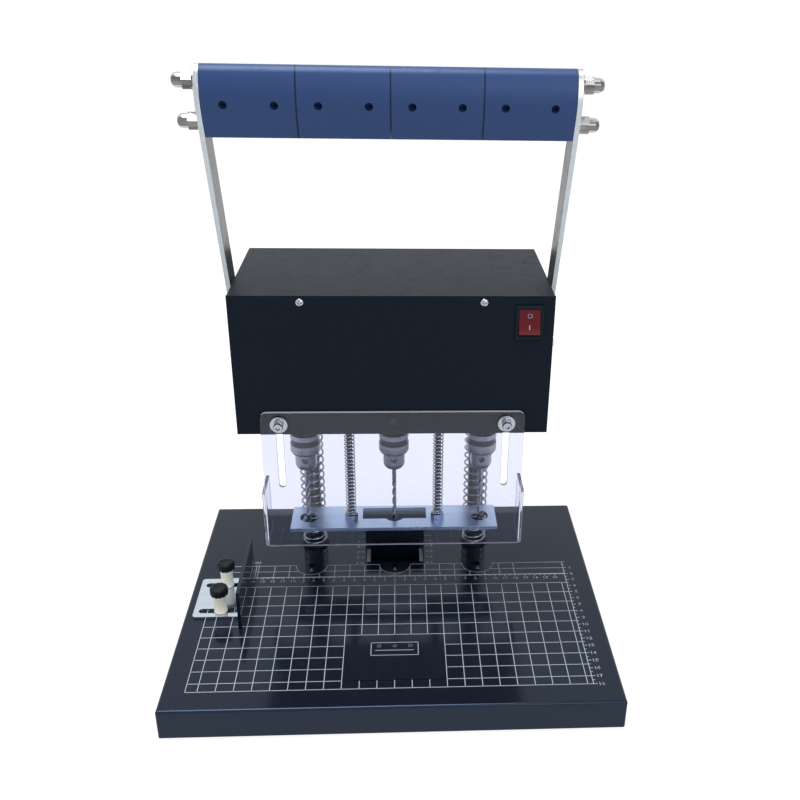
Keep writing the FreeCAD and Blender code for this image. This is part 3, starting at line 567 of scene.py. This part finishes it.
def softened(name, node, body, slot_name, width, segments=2, look=None, edges=None):
    """A merged copy of a CAD skin: flat neighbours become one face and sharp edges are rounded by a bevel.

    edges, if given, is the finish of the faces that look up or down.
    """
    mesh = nodes[node].data.copy()
    skin = bmesh.new()
    skin.from_mesh(mesh)
    bmesh.ops.remove_doubles(skin, verts=skin.verts, dist=MERGE_DIST)
    bmesh.ops.dissolve_limit(skin, angle_limit=math.radians(FLAT_DEG), verts=skin.verts, edges=skin.edges)
    skin.to_mesh(mesh)
    skin.free()
    mesh.name = name
    mesh.materials.clear()
    mesh.materials.append(look or looks[slot_name])
    if edges:
        mesh.materials.append(edges)
        normals = np.empty(len(mesh.polygons) * 3)
        mesh.polygons.foreach_get("normal", normals)
        mesh.polygons.foreach_set("material_index", (np.abs(normals[2::3]) > FACES_ALONG).astype(np.int32))
    mesh.shade_smooth()
    mesh.set_sharp_from_angle(angle=math.radians(SHARP_DEG))
    piece = bpy.data.objects.new(name, mesh)
    bpy.context.scene.collection.objects.link(piece)
    round_off = piece.modifiers.new("round_off", "BEVEL")
    round_off.width = width / 1000.0
    round_off.segments = segments
    round_off.limit_method = "ANGLE"
    round_off.angle_limit = math.radians(BEVEL_DEG)
    even = piece.modifiers.new("even", "WEIGHTED_NORMAL")
    even.weight = 100
    even.keep_sharp = True
    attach(piece, body)
    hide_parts(node)
    return piece


# Printed marks on the base: each digit is a line through dots, given by column 0 to 4 and row 0 to 6
DIGIT_TALL, DIGIT_STEP, DIGIT_GAP = 6.0, 6.0, 2.0
DIGITS = {
    "0": "10 30 41 45 36 16 05 01 10",
    "1": "15 26 20",
    "2": "05 16 36 45 44 00 40",
    "3": "06 46 24 43 41 30 10 01",
    "4": "30 36 02 42",
    "5": "46 06 04 34 43 41 30 00",
    "6": "36 16 05 01 10 30 41 42 33 03",
    "7": "06 46 10",
    "8": "13 04 05 16 36 45 44 33 13 02 01 10 30 41 42 33",
    "9": "43 13 04 05 16 36 45 41 30 10",
}


def bars(ends, width, low=BASE_TOP + 0.005, thick=0.05):
    """A thin closed box of ink for each pair of ends (x0, y0, x1, y1).

    Each box runs on by half a width at both ends.
    """
    ends = np.asarray(ends, float).reshape(-1, 4)
    first, last = ends[:, :2], ends[:, 2:]
    along = last - first
    along /= np.linalg.norm(along, axis=1, keepdims=True)
    side = np.stack([-along[:, 1], along[:, 0]], -1) * width / 2
    first = first - along * width / 2
    last = last + along * width / 2
    ring = np.stack([first - side, last - side, last + side, first + side], 1)
    low_ring = np.concatenate([ring, np.full((*ring.shape[:2], 1), low)], -1)
    high_ring = low_ring + np.array([0, 0, thick])
    points = np.concatenate([low_ring, high_ring], 1).reshape(-1, 3)
    sides = [[0, 1, 5, 4], [1, 2, 6, 5], [2, 3, 7, 6], [3, 0, 4, 7]]
    faces = np.array([[3, 2, 1, 0], [4, 5, 6, 7], *sides])
    start = np.arange(len(ends))[:, None, None] * 8
    return points, [(faces[None] + start).reshape(-1, 4)]


def strokes(points):
    """A line of points as pairs of ends."""
    points = np.asarray(points, float)
    return np.hstack([points[:-1], points[1:]])


def number(text, x, y, tall):
    """The strokes of a plain number centred on x with its foot at y."""
    unit = tall / DIGIT_TALL
    pairs = []
    for place, digit in enumerate(text):
        left = x + (place * DIGIT_STEP - (len(text) * DIGIT_STEP - DIGIT_GAP) / 2.0) * unit
        dots = [(left + int(dot[0]) * unit, y + int(dot[1]) * unit) for dot in DIGITS[digit].split()]
        pairs.append(strokes(dots))
    return np.vstack(pairs)


def arc(x, y, r, start, stop, count=24):
    """An arc about (x, y) between two angles in degrees."""
    a = np.radians(np.linspace(start, stop, count + 1))
    return strokes(np.stack([x + r * np.cos(a), y + r * np.sin(a)], -1))


ARC_R = 15.6
GRID_STEP = 15
GRID_BACK, GRID_FRONT = -35, -180
GRID_LEFT, GRID_RIGHT = -175.0, 170.0
RULER_LEFT, RULER_Y = -165.0, -20.0
LONG_TICK, SHORT_TICK = 3.2, 1.8
PANEL = (-45.0, 45.0, -170.0, -110.0)


def row_pieces(y, x0, x1, gaps):
    """A line along X at y that leaves out the given gaps."""
    pieces, start = [], x0
    for low, high in sorted(gaps):
        if low > start:
            pieces.append((start, y, min(low, x1), y))
        start = max(start, high)
    if start < x1:
        pieces.append((start, y, x1, y))
    return pieces


def tick(step):
    """The length of a scale mark at a place in whole millimetres, long on each centimetre."""
    return LONG_TICK if step % 10 == 0 else SHORT_TICK


def base_print():
    """All ink bars on the base.

    They draw the fine grid, the ruler with its numbers, the arcs in front of the holes and the side scales.
    """
    thin, thick, fine = [], [], []
    for y in (0.0, -10.0):
        half = math.sqrt(ARC_R**2 - y * y)
        thin += row_pieces(y, RULER_LEFT, GRID_RIGHT, [(x - half, x + half) for x in HOLES])
    for x in HOLES:
        thin += arc(x, 0.0, ARC_R, 180, 360).tolist()
        fine.append((x, -9.0, x, -5.5))
        fine.append((x - 1.6, -9.0, x + 1.6, -9.0))
    for y in range(GRID_BACK, GRID_FRONT, -GRID_STEP):
        gap = [(PANEL[0], PANEL[1])] if PANEL[2] < y < PANEL[3] else []
        thin += row_pieces(y, GRID_LEFT, GRID_RIGHT, gap)
    for step in range(-11, 12):
        x = float(step * GRID_STEP)
        blocked = abs(x) < PANEL[1]
        thin.append((x, GRID_BACK, x, PANEL[3] if blocked else GRID_FRONT))
        if blocked:
            thin.append((x, PANEL[2], x, GRID_FRONT))
        near = min(abs(x - hole) for hole in HOLES)
        top = -math.sqrt(ARC_R**2 - near**2) if near < ARC_R else 0.0
        if abs(x) <= 120:
            thin.append((x, top, x, RULER_Y))
    thin.append((PANEL[0], PANEL[2], PANEL[1], PANEL[2]))
    for x in (GRID_LEFT, GRID_RIGHT):
        thin.append((x, GRID_BACK if x < 0 else 0.0, x, GRID_FRONT))
    thin.append((GRID_LEFT, GRID_FRONT, GRID_RIGHT, GRID_FRONT))
    thick.append((RULER_LEFT, RULER_Y, GRID_RIGHT, RULER_Y))
    for step in range(-160, 165, 5):
        fine.append((step, RULER_Y, step, RULER_Y - tick(step)))
        if step % 10 == 0:
            fine += number(str(abs(step) // 10), step, -27.4, 2.8).tolist()
    fine.append((0.0, -29.5, 0.0, -33.0))
    for step in range(0, 181, 5):
        fine.append((GRID_RIGHT, -step, GRID_RIGHT + tick(step), -step))
        if step % 10 == 0 and step:
            fine += number(str(step // 10), GRID_RIGHT + 7.0, -step - 1.5, 3.0).tolist()
    for side in (-1, 1):
        for step in range(1, 7):
            y = step * 10.0 - 7.0
            fine.append((side * 31.2, y, side * 35.0, y))
            fine += number(str(step), side * 37.6, y - 1.4, 2.8).tolist()
    for x in (-147.2, -143.6, -138.4, -136.0):
        thin.append((x, 1.5, x, RULER_Y))
    fine += [(-149.4, 5.2, -145.4, 5.2), (-140.6, 5.2, -135.0, 5.2), (-140.6, 7.0, -135.0, 7.0)]
    return gather([bars(thin, 0.52), bars(thick, 1.2, thick=0.06), bars(fine, 0.5, thick=0.055)])


def base_pictogram():
    """A plain sign in the empty panel: a sheet of paper with three round holes under a line."""
    lines = strokes([(-21, -138), (21, -138), (21, -121), (-21, -121), (-21, -138)]).tolist()
    for x in (-14.0, 0.0, 14.0):
        lines += arc(x, -125.5, 1.6, 0, 360, 16).tolist()
    lines.append((-17.0, -131.5, 17.0, -131.5))
    return bars(lines, 0.5)


# Springs and drills
COIL_STEPS, COIL_SIDES = 26, 8
COIL_EASE = 0.6


def smooth(value):
    """A step from 0 to 1 with level ends."""
    value = np.clip(value, 0.0, 1.0)
    return value * value * (3.0 - 2.0 * value)


def coil(x, y, low, high, r, wire, turns, closed=1.0):
    """A wound spring about Z, as a round wire whose angle runs evenly.

    wire is its half thickness. The height climbs one wire width a turn over the closed end turns and at
    a steady pitch between them, found so that the spring fills its height.
    """
    t = np.linspace(0.0, turns, int(turns * COIL_STEPS) + 1)
    least = 2.06 * wire
    open_part = smooth((t - closed) / COIL_EASE) * smooth((turns - closed - t) / COIL_EASE)
    share = np.concatenate([[0.0], np.cumsum((open_part[1:] + open_part[:-1]) / 2.0)])
    rest = (high - low - 2.0 * wire) - least * turns
    z = low + wire + least * t + rest * share / share[-1]
    a = t * TAU
    outward = np.stack([np.cos(a), np.sin(a), 0 * a], -1)
    centres = np.stack([x + r * np.cos(a), y + r * np.sin(a), z], -1)
    ahead = np.gradient(centres, axis=0)
    ahead /= np.linalg.norm(ahead, axis=1, keepdims=True)
    return tube(centres, outward, np.cross(ahead, outward), wire, COIL_SIDES)


def coil_pair(x, **values):
    """Two equal springs at -x and x as one shape."""
    return gather([coil(side * x, **values) for side in (-1, 1)])


DRILL_R, DRILL_TIP, DRILL_TOP = 2.0, 84.4, 171.8
POINT_TALL = 1.2
FLUTE_LEAD, FLUTE_DEPTH = 20.0, 0.52
FLUTE_TOP, FLUTE_FADE = 126.0, 7.0


def twist_drill(x):
    """A drill: the radius dips twice round the section to make two flutes.

    The section turns once in 20 mm, the flutes run out into a plain shank and the point is a cone.
    """
    point = DRILL_TIP + np.array([0.0, 0.1, 0.3, 0.6, 0.9, POINT_TALL])
    z = np.concatenate([point, np.arange(DRILL_TIP + 1.7, 136, 0.5), [150.0, DRILL_TOP]])

    def fluted(radius, height, angle):
        """The radius less a dip by angle, which turns with the height, and never over the cone."""
        phase = angle - height * TAU / FLUTE_LEAD + 0.6
        dip = np.clip((np.cos(2 * phase) + 0.25) / 1.25, 0.0, 1.0) ** 0.7
        depth = FLUTE_DEPTH * (1.0 - smooth((height - FLUTE_TOP) / FLUTE_FADE))
        cone = np.clip((height - DRILL_TIP) / POINT_TALL, 0.02, 1.0)
        return np.minimum(radius * (1.0 - depth * dip), radius * cone), height

    profile = [(0.0, DRILL_TIP), *[(DRILL_R, h) for h in z], (0.0, DRILL_TOP)]
    return moved(turned(profile, 36, fluted), (x, 0, 0))


# Chuck pieces
TEETH, KNURLS, JAWS = 30, 60, 3
TOOTH_DEEP, KNURL_DEEP = 0.7, 0.16


def toothed_sleeve(x):
    """The chuck's outer sleeve: a ring with key teeth in its lower bevel and a fine knurl round its middle.

    Each row of the table is radius, height, share of the knurl and share of the teeth.
    """
    table = np.array([
        (11.98, 162.8, 0.0, 0.0), (12.9, 162.8, 0.0, 0.4), (13.9, 164.5, 0.0, 1.0), (14.2, 165.0, 0.0, 0.0),
        (14.2, 168.3, 0.0, 0.0), (14.1, 168.5, 1.0, 0.0), (14.1, 171.9, 1.0, 0.0), (14.2, 172.1, 0.0, 0.0),
        (14.15, 172.7, 0.0, 0.0), (13.85, 173.0, 0.0, 0.0), (11.98, 173.0, 0.0, 0.0),
    ])

    def cut(radius, height, angle):
        """The radius less square teeth and less a wavy knurl, each by its share."""
        tooth = 0.5 + 0.5 * np.tanh(3.0 * np.cos(TEETH * angle))
        knurl = 0.5 + 0.5 * np.cos(KNURLS * angle)
        return radius - TOOTH_DEEP * tooth * table[:, 3:] - KNURL_DEEP * knurl * table[:, 2:3], height

    return moved(turned_ring(table[:, :2], 240, cut), (x, 0, 0))


def jaw_tips(x):
    """Three jaw ends round the drill under the chuck's nose: each is a wedge that narrows to the drill."""
    parts = []
    for k in range(JAWS):
        a = TAU * (k + 0.5) / JAWS
        points, faces = box_shape(2.03, 3.4, -1.1, 1.1, 142.6, 145.5)
        low = points[:, 2] < 143.5
        outer = points[:, 0] > 3
        points[low & outer, 0] = 2.5
        points[low, 1] *= 0.8
        c, s = math.cos(a), math.sin(a)
        turn = np.array([[c, s, 0], [-s, c, 0], [0, 0, 1]])
        parts.append((points @ turn + np.array([x, 0, 0]), faces))
    return gather(parts)


def hex_radius(across, angle):
    """Distance from the centre to the side of a hexagon at each angle."""
    return across / 2.0 / np.cos((angle + TAU / 12) % (TAU / 6) - TAU / 12)


def set_screw(x):
    """A small screw in the collar: a disc with a hexagon socket."""
    profile = [(0, 0), (1.4, 0), (1.4, 2.0), (1.2, 2.2), (0.75, 2.2), (0.72, 1.2), (0, 1.0)]
    wall = slice(3, 5)

    def socket(radius, height, angle):
        """A hexagon in place of the socket's wall."""
        radius = radius.copy()
        radius[wall] = hex_radius(1.4, angle)
        return radius, height

    return moved(turned(profile, 24, socket), at=(x, -7.4, 196.0), axis=(0, -1, 0))


# Screws: the half width, half length and depth of the cross, and the width of its sloping wall
CROSS_WIDE, CROSS_LONG, CROSS_DEEP, CROSS_WALL = 0.42, 1.9, 1.1, 0.2
HEAD_KNURLS = 36


def pan_head(length):
    """A domed screw head on its shank.

    The height of the dome drops inside a cross, which makes the recess.
    """
    radii = np.linspace(3.3, 0.15, 15)
    dome = [(r, 0.9 + 1.3 * math.sqrt(max(0.0, 1 - (r / 3.42) ** 2))) for r in radii]
    shank = [(1.5, -length), (1.5, 0), (3.4, 0), (3.4, 0.8)]
    profile = [(0, -length), *shank, *dome, (0, dome[-1][1] - CROSS_DEEP)]

    def crossed(radius, height, angle):
        """The height less a dip inside two crossing slots."""
        x = np.abs(radius * np.cos(angle))
        y = np.abs(radius * np.sin(angle))
        upright = np.maximum((x - CROSS_WIDE) / CROSS_WALL, (y - CROSS_LONG) / CROSS_WALL)
        level = np.maximum((y - CROSS_WIDE) / CROSS_WALL, (x - CROSS_LONG) / CROSS_WALL)
        dip = CROSS_DEEP * (1.0 - smooth(np.minimum(upright, level)))
        dip[:len(shank)] = 0.0
        return radius, height - dip

    return turned(profile, 64, crossed)


def all_pan_screws():
    """Every cross head screw of the head: two in the panel, four in the sides and six under the motors."""
    screw = pan_head(9.8)
    parts = [moved(screw, at=(x, -49.6, 328.5), axis=(0, -1, 0)) for x in (-76.8, 76.8)]
    for x in (-137.0, 137.0):
        parts += [moved(screw, at=(x, y, 209.0), axis=(x, 0, 0)) for y in (-20.0, 65.0)]
    for x in HOLES:
        parts += [moved(screw, at=(x + side, 0.0, 206.0), axis=(0, 0, -1)) for side in (-15.4, 15.4)]
    return gather(parts)


def socket_screw(head_r, tall, across, shank_r, length):
    """A socket head screw: a knurled head with a hexagon socket on a plain shank."""
    shank = [(0, -length), (shank_r, -length), (shank_r, 0)]
    head = [(head_r - 0.3, 0), (head_r, 0.4), (head_r, tall - 0.7), (head_r - 0.5, tall)]
    profile = [*shank, *head, (across / 2, tall), (across / 2, tall - 3.2), (0, tall - 4.0)]
    side, wall = slice(3, 5), slice(6, 8)

    def formed(radius, height, angle):
        """A wavy knurl on the head's side and a hexagon for the socket's wall."""
        radius = radius.copy()
        radius[side] -= KNURL_DEEP * (0.5 + 0.5 * np.cos(HEAD_KNURLS * angle))
        radius[wall] = hex_radius(across, angle)
        return radius, height

    return turned(profile, 144, formed)


# Fence knobs
KNOB_X = -161.8
KNOB_FLUTES = 12
KNOB_Y = {"front": -74.6, "rear": -34.6}


def knob_stem(y):
    """A cream sleeve with a small foot and a groove, over the screw that goes down into the base."""
    profile = [(0, 18), (3, 18), (3, 34.1), (6.1, 34.1), (6.2, 35.2), (5.8, 35.8), (5.8, 50.6), (6.4, 52.2),
               (6.4, 53.4), (0, 53.4)]
    return moved(turned(profile, 48), (KNOB_X, y, 0))


def knob_cap(y):
    """A black cap with twelve finger flutes and a domed top."""
    profile = [(0, 53.2), (7.6, 53.2), (8.2, 53.8), (8.3, 55.2), (8.3, 59.0), (8.0, 60.2), (7.0, 61.0),
               (5.2, 61.25), (4.6, 60.9), (0, 60.8)]

    def fluted(radius, height, angle):
        """The radius less twelve dips that fade towards the middle of the top."""
        weight = smooth((radius - 5.5) / 2.0)
        return radius - 0.55 * weight * np.clip(np.cos(KNOB_FLUTES * angle), 0, 1) ** 0.6, height

    return moved(turned(profile, 144, fluted), (KNOB_X, y, 0))


# Switch marks
ROCKER_AT = (115.7, -45.6, 310.6)


def rocker_marks():
    """A ring and a bar, the plain signs for off and on, on the two slopes of the rocker."""
    tilt = math.radians(-7.0)
    c, s = math.cos(tilt), math.sin(tilt)

    def on_face(shape):
        """Stands a flat shape up on the two slopes and turns it with the rocker."""
        points, faces = shape
        y = -6.0 - np.abs(points[:, 1:2]) / 6.0 - points[:, 2:3]
        z = points[:, 1:2]
        turned_points = [points[:, :1], y * c - z * s, y * s + z * c]
        return np.hstack([at + column for at, column in zip(ROCKER_AT, turned_points)]), faces

    ring = bars(arc(0, 5.6, 1.75, 0, 360, 24), 0.5, low=-0.02, thick=0.14)
    bar = bars([(0, -6.0, 0, -2.6)], 0.5, low=-0.02, thick=0.14)
    return gather([on_face(ring), on_face(bar)])


# Gland
def gland_body():
    """The cable gland at the back.

    It has a thread through the cover, a hexagon nut and a ribbed nose with a bore.
    """
    thread = [(3.2, 0.0), (5.9, 0.0), (5.9, 8.0)]
    nut = [(6.9, 8.0), (7.1, 8.5), (7.1, 12.5), (6.9, 13.0)]
    ribs = [(6.0, 13.0), (6.0, 14.2), (5.6, 14.6), (6.0, 15.0), (5.6, 15.6), (5.9, 16.2), (5.4, 16.8)]
    nose = [(5.7, 17.4), (5.2, 18.4), (4.6, 20.0), (3.2, 20.0)]
    flats = slice(len(thread), len(thread) + len(nut))

    def hexed(radius, height, angle):
        """A hexagon over the rings of the nut, never past its chamfer."""
        radius = radius.copy()
        radius[flats] = np.minimum(hex_radius(14.0, angle), radius[flats] + 1.0)
        return radius, height

    shape = turned_ring([*thread, *nut, *ribs, *nose], 72, hexed)
    return moved(shape, at=(-110.0, 82.5, 236.0), axis=(0, 1, 0))


# Scene
add_camera()
add_world()
add_floor()
add_area("key", at=(-0.3, -0.1, 2.4), aim=(0, 0, 0.25), size=(1.5, 1.2), power=62)
add_area("fill", at=(0.8, -1.9, 1.1), aim=(0, 0, 0.3), size=(1.2, 1.2), power=12)

# Nodes whose look differs from their slot's
OWN_LOOKS = {
    "bottom_cover": "gloss_black",
    "stop_guides": "strip_grey",
    "fence_bracket": "pale_zinc",
    "press_nuts": "chrome",
    "press_rods": "black_steel",
    "acorn_nuts": "nut_chrome_painted_reflections",
    "left_chuck_body": "chuck_painted_shade",
    "centre_chuck_body": "chuck_painted_shade",
    "right_chuck_body": "chuck_painted_shade",
}
for part in frame["record"]["subparts"]:
    mesh = nodes[part["node"]].data
    mesh.materials.clear()
    mesh.materials.append(looks[part["material_slot"]])
for name, look in OWN_LOOKS.items():
    nodes[name].data.materials[0] = looks[look]

add_piece("base_print", base_print(), "base", "grey_plastic", look=looks["ink"])
add_piece("base_pictogram", base_pictogram(), "base", "grey_plastic", look=looks["ink"])

back = coil_pair(83.0, y=44.5, low=34.0, high=206.0, r=11.5, wire=1.0, turns=22)
spring = add_piece("return_coils", back, "base", "spring_steel", ["return_springs"])
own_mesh(spring)

front = coil_pair(42.0, y=-3.0, low=95.0, high=206.0, r=4.6, wire=0.6, turns=30)
spring = add_piece("press_coils", front, "head", "spring_steel", ["press_springs"],
                   look=looks["coil_steel"])
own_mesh(spring)

for side, x in zip(SIDES, HOLES):
    spindle = side + "_spindle"
    add_piece(side + "_twist_drill", twist_drill(x), spindle, "drill_steel", [side + "_drill_bit"])
    add_piece(side + "_toothed_sleeve", toothed_sleeve(x), spindle, "chuck_steel", [side + "_chuck_sleeve"])
    add_piece(side + "_jaw_tips", jaw_tips(x), spindle, "chuck_steel")
    add_piece(side + "_set_screw", set_screw(x), spindle, "chrome")

add_piece("cross_head_screws", all_pan_screws(), "head", "chrome", ["pan_screws"])
socket = socket_screw(head_r=4.2, tall=6.8, across=4.0, shank_r=3.0, length=12.4)
pair = gather([moved(socket, at=(x, -54.4, 217.0), axis=(0, -1, 0)) for x in (-100.0, 100.0)])
add_piece("guard_socket_screws", pair, "head", "black_steel", ["guard_screws"], look=looks["chrome"])
add_piece("gland", gland_body(), "head", "black_plastic", ["cable_gland"])

for name, y in KNOB_Y.items():
    body, node = name + "_knob", name + "_fence_knob"
    add_piece(name + "_knob_stem", knob_stem(y), body, "cream_plastic", [node])
    add_piece(name + "_knob_cap", knob_cap(y), body, "black_plastic", [node])

for k in range(4):
    node = "grip_block_" + str(k + 1)
    softened("grip_" + str(k + 1), node, "lever", "grip_blue", 1.6, segments=3)
for side in ("left", "right"):
    softened(side + "_lever_arm", side + "_arm", "lever", "zinc", 0.5, look=looks["arm_zinc"])
softened("press_bar", "press_plate", "press", "zinc", 0.4)
softened("guard_sheet", "guard", "guard", "clear", 0.3, edges=looks["sawn_clear"])
softened("rocker_key", "switch_rocker", "rocker", "red_plastic", 0.5)
add_piece("rocker_marks", rocker_marks(), "rocker", "grey_plastic", look=looks["ink"])
